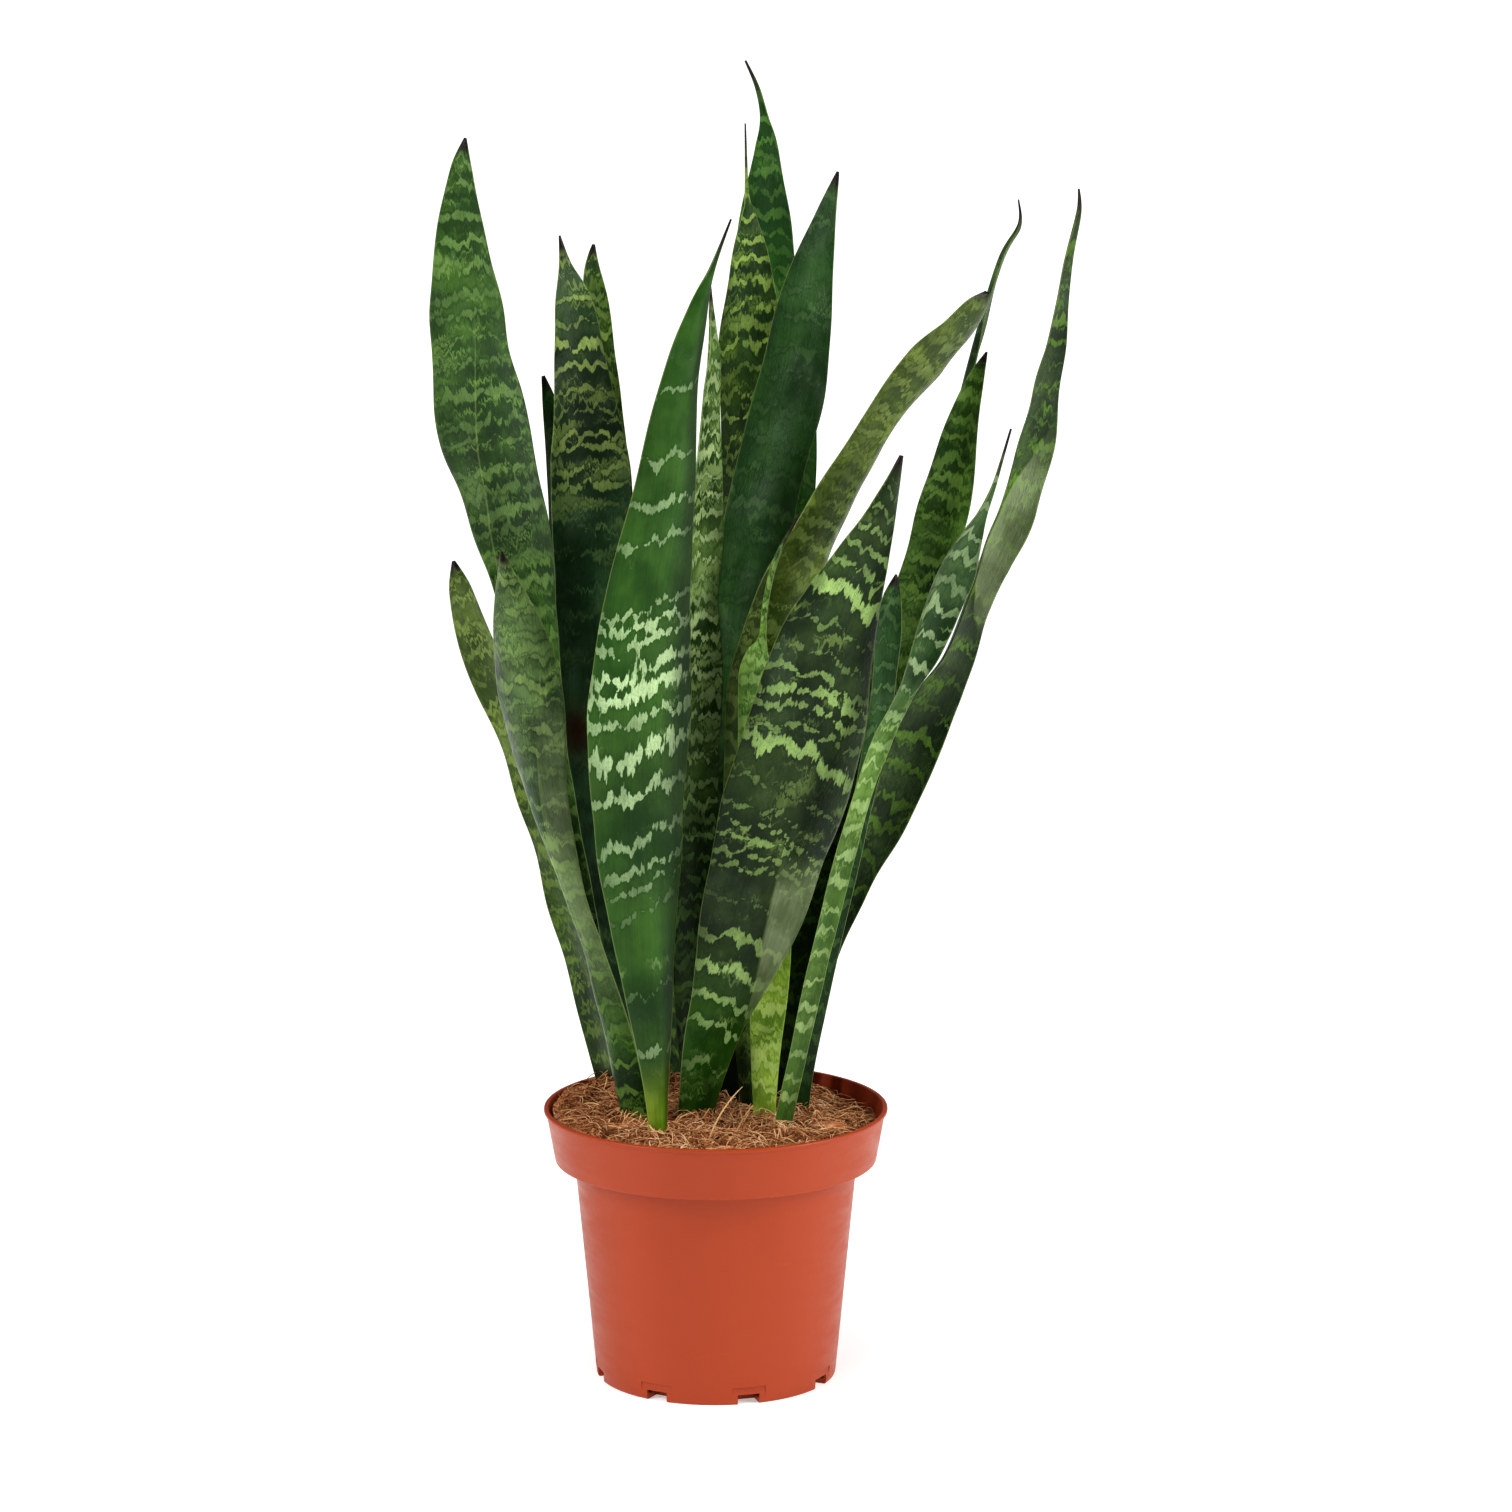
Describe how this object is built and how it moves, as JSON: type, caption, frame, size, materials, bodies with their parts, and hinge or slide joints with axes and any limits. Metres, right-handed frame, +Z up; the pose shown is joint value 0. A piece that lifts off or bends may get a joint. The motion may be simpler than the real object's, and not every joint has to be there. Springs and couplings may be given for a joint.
{
  "type": "potted snake plant",
  "caption": "Upright snake plant with banded sword-shaped leaves, growing in potting mix in a round terracotta-coloured plastic nursery pot.",
  "frame": {"origin": "centre of the pot's underside, on the surface that the pot stands on", "axes": "+Z up along the pot's axis, -Y the front that the broad banded leaves face, +X to the right seen from the front"},
  "size_m": [0.3222, 0.1882, 0.6442],
  "materials": {
    "pot_plastic": "satin moulded terracotta-coloured polypropylene",
    "coir_mix": "loose fibrous coir and peat, matte",
    "stem_tissue": "dry papery stem skin, matte",
    "leaf_green": "waxy satin leaf skin with pale cross bands"
  },
  "bodies": {
    "root": {"pot": "pot_plastic", "potting_mix": "coir_mix", "rhizome": "stem_tissue", "leaf_left_tall": "leaf_green", "leaf_left_outer": "leaf_green", "leaf_left_dark": "leaf_green", "leaf_left_folded": "leaf_green", "leaf_back_left_bright": "leaf_green", "leaf_back_left_small": "leaf_green", "leaf_front_tall": "leaf_green", "leaf_centre_edgeways": "leaf_green", "leaf_back_tallest": "leaf_green", "leaf_centre_lime": "leaf_green", "leaf_centre_dark": "leaf_green", "leaf_right_arching": "leaf_green", "leaf_back_right_slender": "leaf_green", "leaf_right_upright": "leaf_green", "leaf_front_right_curved": "leaf_green", "leaf_right_small": "leaf_green", "leaf_front_broad": "leaf_green", "leaf_front_rolled": "leaf_green", "leaf_right_tallest": "leaf_green"}
  },
  "joints": []
}
